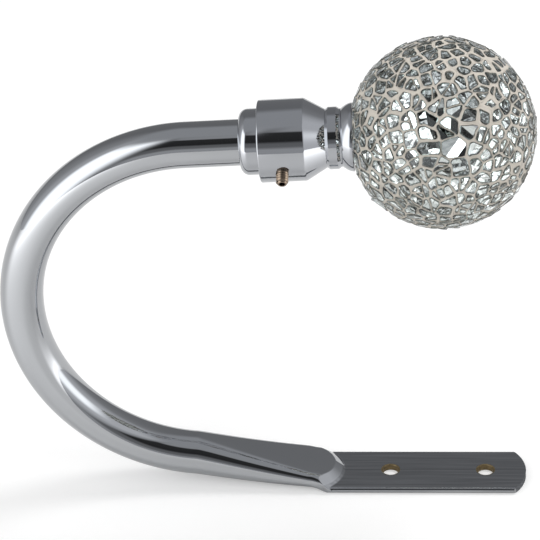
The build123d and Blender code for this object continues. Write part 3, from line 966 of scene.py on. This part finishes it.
def reach_to(outline, centre, turn):
    """Distance from a point inside a convex outline to its side, in a direction."""
    along = (math.cos(turn), math.sin(turn))
    best = 0
    for (x, y), (after_x, after_y) in sides(outline):
        side_x, side_y = after_x - x, after_y - y
        cross = along[0] * side_y - along[1] * side_x
        if abs(cross) < 1e-9:
            continue
        gap_x, gap_y = x - centre[0], y - centre[1]
        distance = (gap_x * side_y - gap_y * side_x) / cross
        share = (gap_x * along[1] - gap_y * along[0]) / cross
        if distance > 0 and -1e-6 <= share <= 1 + 1e-6:
            best = max(best, distance)
    return best


def nearness(off, reach):
    """One at the front of the ball, falling away with an angle in degrees."""
    return math.exp(-((off / reach) ** 2))


class Ball:
    """The ball, shorter along its axis than across it, and the cells of the mosaic on it."""

    def __init__(self, settings, place):
        self.s = settings
        self.place = place
        self.turn = place.to_3x3()
        self.front = (self.turn.inverted() @ Vector(TO_CAMERA)).normalized()
        self.flat = math.sqrt(1 - (settings.mount_flat / settings.glass_radius) ** 2)

    def point(self, direction, radius):
        """The point of the ball in a direction of the collar's frame."""
        spot = direction.normalized() * radius
        return self.place @ Vector((spot.x, spot.y,
                                    self.s.ball_station + self.s.shortening * spot.z))

    def normal(self, direction):
        """The direction square to the ball there."""
        away = direction.normalized()
        return (self.turn @ Vector((away.x, away.y, away.z / self.s.shortening))).normalized()

    def seeds(self):
        """Directions of the cells, scattered at an even spacing that grows towards the front."""
        places = numpy.zeros((0, 3))
        for _ in range(TRIES):
            height = random.uniform(-self.flat, 1)
            turn = random.uniform(0, 2 * math.pi)
            across = math.sqrt(1 - height * height)
            spot = numpy.array((across * math.cos(turn), across * math.sin(turn), height))
            off = math.degrees(math.acos(max(-1, min(1, float(spot @ self.front)))))
            growth = 1 + self.s.front_growth * nearness(off, FRONT_REACH)
            growth *= random.uniform(0.86, 1.55)
            limit = math.cos(growth * self.s.spacing / self.s.glass_radius)
            if len(places) == 0 or (places @ spot).max() < limit:
                places = numpy.vstack((places, spot))
        return [Vector(spot) for spot in places]

    def cells(self):
        """Every cell, as its direction and two axes of its plane, and its outline."""
        seeds = self.seeds()
        tree = kdtree.KDTree(len(seeds))
        for index, seed in enumerate(seeds):
            tree.insert(seed, index)
        tree.balance()
        radius = self.s.glass_radius / MM
        down = Vector((0, 0, -1))
        found = []
        for seed in seeds:
            first, second = flat_axes(seed)
            outline = [(-9, -9), (9, -9), (9, 9), (-9, 9)]
            for other, _, _ in tree.find_n(seed, NEIGHBOURS)[1:]:
                outline = clipped(outline, other.dot(first), other.dot(second),
                                  (1 - other.dot(seed)) * radius)
            outline = clipped(outline, down.dot(first), down.dot(second),
                              (self.flat - down.dot(seed)) * radius)
            if len(outline) > 2:
                found.append(((seed, first, second), outline))
        return found

    def chips(self):
        """Every chip: its cell, its part of the cell and its own outline."""
        joint = self.s.joint / MM
        found = []
        for cell, outline in self.cells():
            tight = random.uniform(0.55, 1.1) if random.random() < 0.92 else 1.9
            inner = moved_edges(outline, [joint / 2 * tight * random.uniform(0.6, 1.4)
                                          for _ in outline])
            if len(inner) < 3 or area_of(inner) < 1.0:
                found.append((cell, outline, None))
                continue
            off = math.degrees(cell[0].angle(self.front))
            wanted = self.s.chip_area * (1 + 1.1 * nearness(off, FRONT_REACH))
            for part, glass in parted(outline, inner, wanted, self.s.crack_joint / MM):
                found.append((cell, part, glass if area_of(glass) > 0.8 else None))
        return found

    def towards(self, cell, x, y):
        """The direction of a point of a cell's plane."""
        seed, first, second = cell
        reach = self.s.glass_radius / MM
        return seed + first * (x / reach) + second * (y / reach)

    def seat(self, cell, glass):
        """The tilted plane of a chip: its point, its normal and two axes."""
        direction = self.towards(cell, *middle_of(glass))
        tilt = Vector([random.gauss(0, self.s.chip_tilt * 0.7) for _ in range(3)])
        normal = (self.normal(direction) + tilt).normalized()
        point = self.point(direction, self.s.glass_radius - random.uniform(0, 0.14) * MM)
        side = self.turn @ cell[1]
        side = (side - normal * side.dot(normal)).normalized()
        return point, normal, side, normal.cross(side)


def outlines_mesh(name, outlines, wander):
    """One flat face for every seated outline, sunk by a depth along its normal."""
    points = []
    faces = []
    for flat, centre, seat, depth in outlines:
        point, normal, side, up = seat
        start = len(points)
        points += [wandered(point + side * (x - centre[0]) * MM + up * (y - centre[1]) * MM,
                            normal, wander) - normal * depth for x, y in flat]
        faces.append(tuple(range(start, start + len(flat))))
    mesh = bpy.data.meshes.new(name)
    mesh.from_pydata(points, [], faces)
    return mesh


def new_tree(name, **numbers):
    """A Geometry Nodes tree with named inputs and a material: its input sockets, its output."""
    tree = bpy.data.node_groups.new(name, "GeometryNodeTree")
    tree.is_modifier = True
    tree.interface.new_socket("Geometry", in_out="INPUT", socket_type="NodeSocketGeometry")
    for title, kind in (*numbers.items(), ("Material", "Material")):
        tree.interface.new_socket(title, in_out="INPUT", socket_type="NodeSocket" + kind)
    tree.interface.new_socket("Geometry", in_out="OUTPUT", socket_type="NodeSocketGeometry")
    return tree, tree.nodes.new("NodeGroupInput").outputs, tree.nodes.new("NodeGroupOutput")


def grown(mesh, tree, name, values):
    """The mesh that a Geometry Nodes tree makes of another, its inputs set by identifier."""
    holder = added(name, mesh)
    modifier = holder.modifiers.new(tree.name, "NODES")
    modifier.node_group = tree
    for item in tree.interface.items_tree:
        if item.item_type == "SOCKET" and item.in_out == "INPUT" and item.name in values:
            modifier[item.identifier] = values[item.name]
    result = flattened(holder, name)
    bpy.data.objects.remove(holder)
    return result


def chip_tree():
    """Tree that raises every flat outline to a chip with a rounded edge and a random tilt."""
    tree, start, end = new_tree("glass_chips", Height="Float", Width="Float", Drop="Float",
                                Tilt="Float", Seed="Int")
    spot = add_node(tree, "GeometryNodeInputPosition").outputs[0]
    lean = add_node(tree, "FunctionNodeRandomValue",
                    {"Seed": start["Seed"], 0: (-1, -1, -1), 1: (1, 1, 1)},
                    data_type="FLOAT_VECTOR")
    tone = add_node(tree, "FunctionNodeRandomValue", {"Seed": start["Seed"]}, data_type="FLOAT")
    kept = add_node(tree, "GeometryNodeCaptureAttribute", {"Geometry": start["Geometry"]},
                    domain="FACE")
    for kind, title, source in (
        ("VECTOR", "Spot", spot),
        ("VECTOR", "Facing", add_node(tree, "GeometryNodeInputNormal").outputs[0]),
        ("FLOAT", "Size", add_node(tree, "GeometryNodeInputMeshFaceArea").outputs[0]),
        ("VECTOR", "Lean", lean.outputs[0]),
        ("FLOAT", "Tone", tone.outputs[1]),
    ):
        kept.capture_items.new(kind, title)
        tree.links.new(source, kept.inputs[title])
    base = kept.outputs
    body = add_node(tree, "GeometryNodeExtrudeMesh",
                    {"Mesh": base["Geometry"], "Offset Scale": start["Height"]}, mode="FACES")
    rim = add_node(tree, "GeometryNodeExtrudeMesh",
                   {"Mesh": body.outputs["Mesh"], "Selection": body.outputs["Top"],
                    "Offset Scale": start["Drop"]}, mode="FACES").outputs
    reach = maths(tree, "SQRT", maths(tree, "MULTIPLY", base["Size"], 1 / math.pi))
    share = maths(tree, "SUBTRACT", 1.0, maths(tree, "DIVIDE", start["Width"], reach))
    shrunk = add_node(tree, "GeometryNodeScaleElements",
                      {"Geometry": rim["Mesh"], "Selection": rim["Top"],
                       "Scale": maths(tree, "MAXIMUM", share, 0.45)}, domain="FACE")
    away = vector_maths(tree, "SUBTRACT", "Vector", {0: spot, 1: base["Spot"]})
    slope = vector_maths(tree, "SCALE", "Vector", {0: base["Lean"], "Scale": start["Tilt"]})
    rise = vector_maths(tree, "DOT_PRODUCT", "Value", {0: away, 1: slope})
    push = vector_maths(tree, "SCALE", "Vector", {0: base["Facing"], "Scale": rise})
    leaning = add_node(tree, "GeometryNodeSetPosition",
                       {"Geometry": shrunk.outputs[0], "Selection": rim["Top"], "Offset": push})
    bottom = add_node(tree, "GeometryNodeFlipFaces", {"Mesh": base["Geometry"]})
    shell = joined(tree, leaning.outputs[0], bottom.outputs[0])
    result = add_node(tree, "GeometryNodeMergeByDistance", {"Geometry": shell,
                                                            "Distance": 0.0001 * MM})
    for name, value in (("glass_tone", base["Tone"]), ("glass_edge", rim["Side"])):
        result = add_node(tree, "GeometryNodeStoreNamedAttribute",
                          {"Geometry": result.outputs[0], "Value": value, "Name": name},
                          data_type="FLOAT", domain="FACE")
    return closed_tree(tree, result.outputs[0], start, end)


def grout_mesh(ball, chips):
    """The grout: its uneven outside between the chips, a bed under them and the mount's flat."""
    points = []
    faces = []
    grout = ball.s.grout_radius
    for cell, part, glass in chips:
        centre = middle_of(glass or part)
        hole = softened(glass) if glass else []
        turns = sorted({round(math.atan2(y - centre[1], x - centre[0]), 5)
                        for x, y in part + hole})
        away_from = ball.turn @ cell[0]
        start = len(points)
        for share, lift in GROUT_ROWS:
            for turn in turns:
                outer = reach_to(part, centre, turn)
                inner = reach_to(hole, centre, turn) * 1.015 if hole else 0.0
                away = inner + max(0.0, outer - inner) * share
                x = centre[0] + away * math.cos(turn)
                y = centre[1] + away * math.sin(turn)
                radius = ball.s.bed_radius if lift is None else grout + lift * MM
                if not hole:
                    radius = grout
                spot = ball.point(ball.towards(cell, x, y), radius)
                spot = wandered(spot, away_from, ball.s.wander)
                if lift is not None:
                    wave = noise.noise(spot * 260) * 0.10 + noise.noise(spot * 900) * 0.05
                    spot = spot + away_from * wave * MM
                points.append(spot)
        faces += ring_faces(len(GROUT_ROWS), len(turns), start)
    shape = bmesh.new()
    bmesh.ops.create_icosphere(shape, subdivisions=4, radius=1.0)
    shape.verts.index_update()
    start = len(points)
    points += [ball.point(v.co, ball.s.bed_radius) for v in shape.verts]
    faces += [tuple(start + v.index for v in face.verts) for face in shape.faces]
    shape.free()
    start = len(points)
    height = math.sqrt(1 - (ball.s.mount_flat / grout) ** 2) * ball.s.shortening * grout
    for radius in (ball.s.mount_flat + 0.1 * MM, 9.6 * MM):
        points += [ball.place @ Vector(p)
                   for p in circle(radius, ball.s.ball_station - height, MOUNT_POINTS)]
    faces += ring_faces(2, MOUNT_POINTS, start)
    mesh = bpy.data.meshes.new("grout_skin")
    mesh.from_pydata(points, [], faces)
    mesh.shade_smooth()
    mark_sharp(mesh, 50)
    return mesh


class TIEBACK_OT_mosaic(bpy.types.Operator):
    """Grout and crackled mirror glass of the ball"""

    bl_idname = "tieback.mosaic"
    bl_label = "Mosaic"

    def execute(self, context):
        settings = context.scene.tieback_mosaic
        random.seed(settings.seed)
        ball = Ball(settings, collar_axis_matrix(TubeShape(context.scene.tieback_tube)))
        all_chips = ball.chips()
        depth = settings.glass_height + settings.edge_drop
        bodies = []
        splinters = []
        for cell, _, glass in all_chips:
            if glass is None:
                continue
            seat = ball.seat(cell, glass)
            centre = middle_of(glass)
            bodies.append((softened(glass), centre, seat, depth))
            inner = moved_edges(glass, [SILVER_MARGIN] * len(glass))
            off = math.degrees(cell[0].angle(ball.front))
            wanted = settings.splinter_area * (1 + 8 * nearness(off, 15))
            for part in broken(inner, wanted, settings.hairline / MM, 0.9):
                if len(part) > 2 and area_of(part) > 0.2:
                    splinters.append((divided(part), centre, seat, depth - SILVER_LIFT * MM))
        tree = chip_tree()
        finish = context.scene.tieback_finish
        silver = mirror_material(finish, ball.point(ball.front, settings.glass_radius))
        for name, outlines, material, seed, sizes in (
            ("glass_chips", bodies, glass_material(finish), 3,
             (settings.glass_height, settings.edge_width, settings.edge_drop, 0.02)),
            ("silvering", splinters, silver, 8,
             (0.02 * MM, 0.05 * MM, 0.03 * MM, settings.splinter_tilt)),
        ):
            values = dict(zip(("Height", "Width", "Drop", "Tilt"), sizes))
            values.update(Seed=seed, Material=material)
            mesh = grown(outlines_mesh(name, outlines, settings.wander), tree, name, values)
            new_piece(name, mesh, material, "mirror_glass", *GLASS_NODES)
        grout = grout_material(finish)
        new_piece("grout_skin", grout_mesh(ball, all_chips), grout, "grout", "grout")
        painted(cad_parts["ball_core"].data, grout)
        return {"FINISHED"}


class TIEBACK_OT_stage(bpy.types.Operator):
    """Pale floor, soft lamps and the camera"""

    bl_idname = "tieback.stage"
    bl_label = "Stage"

    def execute(self, context):
        add_floor()
        add_world()
        add_lamps()
        add_camera()
        return {"FINISHED"}


# The studio that shiny and clear surfaces see. Angles are in degrees and start at the camera's
# side or at the table's height.
WALLS = (
    (-180, 0.23), (-150, 0.22), (-130, 0.33), (-110, 0.40), (-90, 0.62), (-30, 0.50), (-18, 0.10),
    (30, 0.10), (37, 0.40), (50, 0.72), (95, 0.72), (110, 0.60), (130, 0.33), (150, 0.26),
    (180, 0.23),
)
FRONT_GAP = ((-90, 0.48), (3, 0.46), (10, 0.20), (19, 0.18), (25, 0.03), (48, 0.04), (52, 0.42),
             (90, 0.40))
CEILING = (0.42, 0.43, 0.45)
# Softboxes: from, to and softness of their edges, round and up, and their brightness.
SOFTBOXES = (((-76, -29, 9), (-90, 52, 8), 2.15), ((62, 90, 9), (-90, 27, 10), 2.0))
# Painted pools of light on the table, glowing only in reflections: the same round it, the distances
# that they grow between, brightness.
TABLE_LIGHT_POOLS = (((-84, -20, 14), (0.10, 0.75), 1.35), ((38, 100, 14), (0.05, 0.36), 1.25))
TABLE_MIRRORED = 0.08
TABLE_GLOW = 0.30
ROOM_LIGHT = 0.72


def ray_kinds(tree):
    """Shares of the camera's rays and of the rays mirrored or bent by the piece."""
    path = add_node(tree, "ShaderNodeLightPath").outputs
    bounced = maths(tree, "MAXIMUM", path["Is Glossy Ray"], path["Is Transmission Ray"])
    return path["Is Camera Ray"], bounced, path["Is Transmission Ray"]


def turn_of(tree, x, y):
    """The angle round the piece, from the camera's side towards +X."""
    return maths(tree, "ARCTAN2", x, maths(tree, "MULTIPLY", y, -1.0))


def add_floor():
    """Pale floor, white to the camera and in reflections, that keeps the shadow and glows in
    painted pools of light in reflections.
    """
    mesh = bpy.data.meshes.new("floor")
    size = 3.0
    mesh.from_pydata([(-size, -0.9, 0), (size, -0.9, 0), (size, size, 0), (-size, size, 0)],
                     [], [(0, 1, 2, 3)])
    floor = added("floor", mesh)
    material, tree, place = new_material("white_table")
    camera, bounced, _ = ray_kinds(tree)
    diffuse = add_node(tree, "ShaderNodeBsdfDiffuse", {"Color": linear("#E0E0E0")}).outputs[0]
    parts = add_node(tree, "ShaderNodeSeparateXYZ", {0: place}).outputs
    turn = turn_of(tree, maths(tree, "ADD", parts["X"], 0.06), parts["Y"])
    away = vector_maths(tree, "LENGTH", "Value", {0: place})
    mirrored = TABLE_MIRRORED
    # Painted light: pools of glow on the table that only reflections see.
    for around, (near, far), strength in TABLE_LIGHT_POOLS:
        lit = maths(tree, "MULTIPLY", window(tree, turn, *around),
                    mapped(tree, away, near, far, 0.0, strength))
        mirrored = maths(tree, "ADD", lit, mirrored)
    level = mixed(tree, bounced, TABLE_GLOW, mirrored, kind="FLOAT")
    glow = add_node(tree, "ShaderNodeEmission", {"Color": (1, 1, 1), "Strength": level})
    both = add_node(tree, "ShaderNodeAddShader", {0: diffuse, 1: glow.outputs[0]})
    seen = maths(tree, "MAXIMUM", camera, bounced)
    mix = add_node(tree, "ShaderNodeMixShader", {0: seen, 1: diffuse, 2: both.outputs[0]})
    add_node(tree, "ShaderNodeOutputMaterial", {"Surface": mix.outputs[0]})
    mesh.materials.append(material)


def window(tree, value, low, high, soft):
    """A factor that is one between two angles, with soft edges."""
    limits = [math.radians(angle) for angle in (low - soft, low + soft, high - soft, high + soft)]
    return maths(tree, "MULTIPLY", mapped(tree, value, *limits[:2], kind="SMOOTHSTEP"),
                 mapped(tree, value, *limits[2:], 1.0, 0.0, kind="SMOOTHSTEP"))


def ramp_of(tree, factor, values):
    """A colour ramp with grey stops, from (position, value) pairs."""
    ramp = tree.nodes.new("ShaderNodeValToRGB")
    tree.links.new(factor, ramp.inputs["Fac"])
    stops = ramp.color_ramp.elements
    while len(stops) > 1:
        stops.remove(stops[-1])
    for index, (position, value) in enumerate(values):
        stop = stops[0] if index == 0 else stops.new(position)
        stop.position = position
        stop.color = (value * 0.98, value * 0.995, value * 1.03, 1)
    return ramp.outputs["Color"]


def background(tree, colour, strength):
    """A world's light."""
    return add_node(tree, "ShaderNodeBackground",
                    {"Color": colour, "Strength": strength}).outputs[0]


def add_world():
    """White behind the piece, an even room for its light and a studio round it for its shine.

    The studio has a tall softbox at the front left, a lower one at the right, a dark gap in
    front and a grey ceiling. Through the chips it looks busier, so that they sparkle.
    """
    world = bpy.data.worlds.new("studio")
    bpy.context.scene.world = world
    tree = emptied(world)
    place = add_node(tree, "ShaderNodeTexCoord").outputs["Generated"]
    parts = add_node(tree, "ShaderNodeSeparateXYZ", {0: place}).outputs
    turn = turn_of(tree, parts["X"], parts["Y"])
    rise = maths(tree, "ARCSINE", parts["Z"])
    walls = ramp_of(tree, mapped(tree, turn, -math.pi, math.pi),
                    [((angle + 180) / 360, value) for angle, value in WALLS])
    dim = ramp_of(tree, mapped(tree, rise, -math.pi / 2, math.pi / 2),
                  [((angle + 90) / 180, value) for angle, value in FRONT_GAP])
    colour = mixed(tree, window(tree, turn, -20, 34, 5), walls, dim)
    colour = mixed(tree, window(tree, rise, 59, 180, 9), colour, CEILING)
    for around, up, level in SOFTBOXES:
        share = maths(tree, "MULTIPLY", window(tree, turn, *around), window(tree, rise, *up))
        colour = mixed(tree, share, colour, (level * 0.98, level, level * 1.02))
    busy = mapped(tree, cloudy(tree, place, 3.2, 2.0), 0.42, 0.60, 0.22, 2.3)
    camera, bounced, bent = ray_kinds(tree)
    light = background(tree, colour, 1.0)
    for share, first, second in ((bent, None, background(tree, colour, busy)),
                                 (bounced, background(tree, (1, 1, 1), ROOM_LIGHT), None),
                                 (camera, None, background(tree, (1, 1, 1), 1.0))):
        light = add_node(tree, "ShaderNodeMixShader",
                         {0: share, 1: first or light, 2: second or light}).outputs[0]
    add_node(tree, "ShaderNodeOutputWorld", {"Surface": light})


def add_lamps():
    """Softboxes at the front left and the right, and one behind and above for the shadow."""
    target = Vector((-0.06, 0, 0.08))
    for name, place, width, height, power in (
        ("left_softbox", (-0.85, -0.65, 0.5), 0.6, 0.9, 2.4),
        ("right_softbox", (1.0, -0.35, 0.4), 0.5, 0.6, 1.6),
        ("top_softbox", (0.35, 0.45, 1.2), 0.45, 0.45, 4.6),
    ):
        data = bpy.data.lights.new(name, "AREA")
        data.shape = "RECTANGLE"
        data.size, data.size_y = width, height
        data.energy = power
        lamp = added(name, data)
        lamp.location = place
        lamp.rotation_mode = "QUATERNION"
        lamp.rotation_quaternion = (target - Vector(place)).to_track_quat("-Z", "Y")
        lamp.visible_glossy = False
        lamp.visible_transmission = False


def add_camera():
    """Camera at the photograph's viewpoint."""
    data = bpy.data.cameras.new("camera")
    data.lens = 166.7
    camera = added("camera", data)
    target, distance = Vector((-0.05879, 0, 0.08959)), 0.88297
    yaw, pitch, roll = math.radians(4.65), math.radians(31.82), math.radians(2.70)
    back = Vector((math.sin(yaw) * math.cos(pitch), -math.cos(yaw) * math.cos(pitch),
                   math.sin(pitch)))
    right = Vector((math.cos(yaw), math.sin(yaw), 0))
    up = back.cross(right)
    turned_right = right * math.cos(roll) - up * math.sin(roll)
    turned_up = right * math.sin(roll) + up * math.cos(roll)
    camera.matrix_world = placement(turned_right, turned_up, back, target + back * distance)
    bpy.context.scene.camera = camera
    bpy.context.scene.view_settings.view_transform = "Standard"


class TIEBACK_PT_panel(bpy.types.Panel):
    """The tieback's pieces in the 3D view's sidebar"""

    bl_label = "Tieback"
    bl_idname = "TIEBACK_PT_panel"
    bl_space_type = "VIEW_3D"
    bl_region_type = "UI"
    bl_category = "Tieback"

    def draw(self, context):
        for operator in OPERATORS:
            self.layout.operator(operator.bl_idname)
        for name, group in SETTINGS.items():
            box = self.layout.box()
            for title in group.__annotations__:
                box.prop(getattr(context.scene, name), title)


OPERATORS = (
    TIEBACK_OT_hook,
    TIEBACK_OT_collar,
    TIEBACK_OT_fasteners,
    TIEBACK_OT_mosaic,
    TIEBACK_OT_stage,
)
SETTINGS = {
    "tieback_tube": TiebackTubeSettings,
    "tieback_collar": TiebackCollarSettings,
    "tieback_screw": TiebackScrewSettings,
    "tieback_mosaic": TiebackMosaicSettings,
    "tieback_finish": TiebackFinishSettings,
}
CLASSES = (*SETTINGS.values(), *OPERATORS, TIEBACK_PT_panel)


def register():
    """Register the classes and the settings."""
    for one in CLASSES:
        bpy.utils.register_class(one)
    for name, group in SETTINGS.items():
        setattr(bpy.types.Scene, name, bpy.props.PointerProperty(type=group))


def unregister():
    """Take the classes and the settings away."""
    for name in SETTINGS:
        delattr(bpy.types.Scene, name)
    for one in reversed(CLASSES):
        bpy.utils.unregister_class(one)


def main():
    """Make every piece in order."""
    register()
    bpy.ops.tieback.hook()
    bpy.ops.tieback.collar()
    bpy.ops.tieback.fasteners()
    bpy.ops.tieback.mosaic()
    bpy.ops.tieback.stage()


if __name__ == "__main__":
    main()
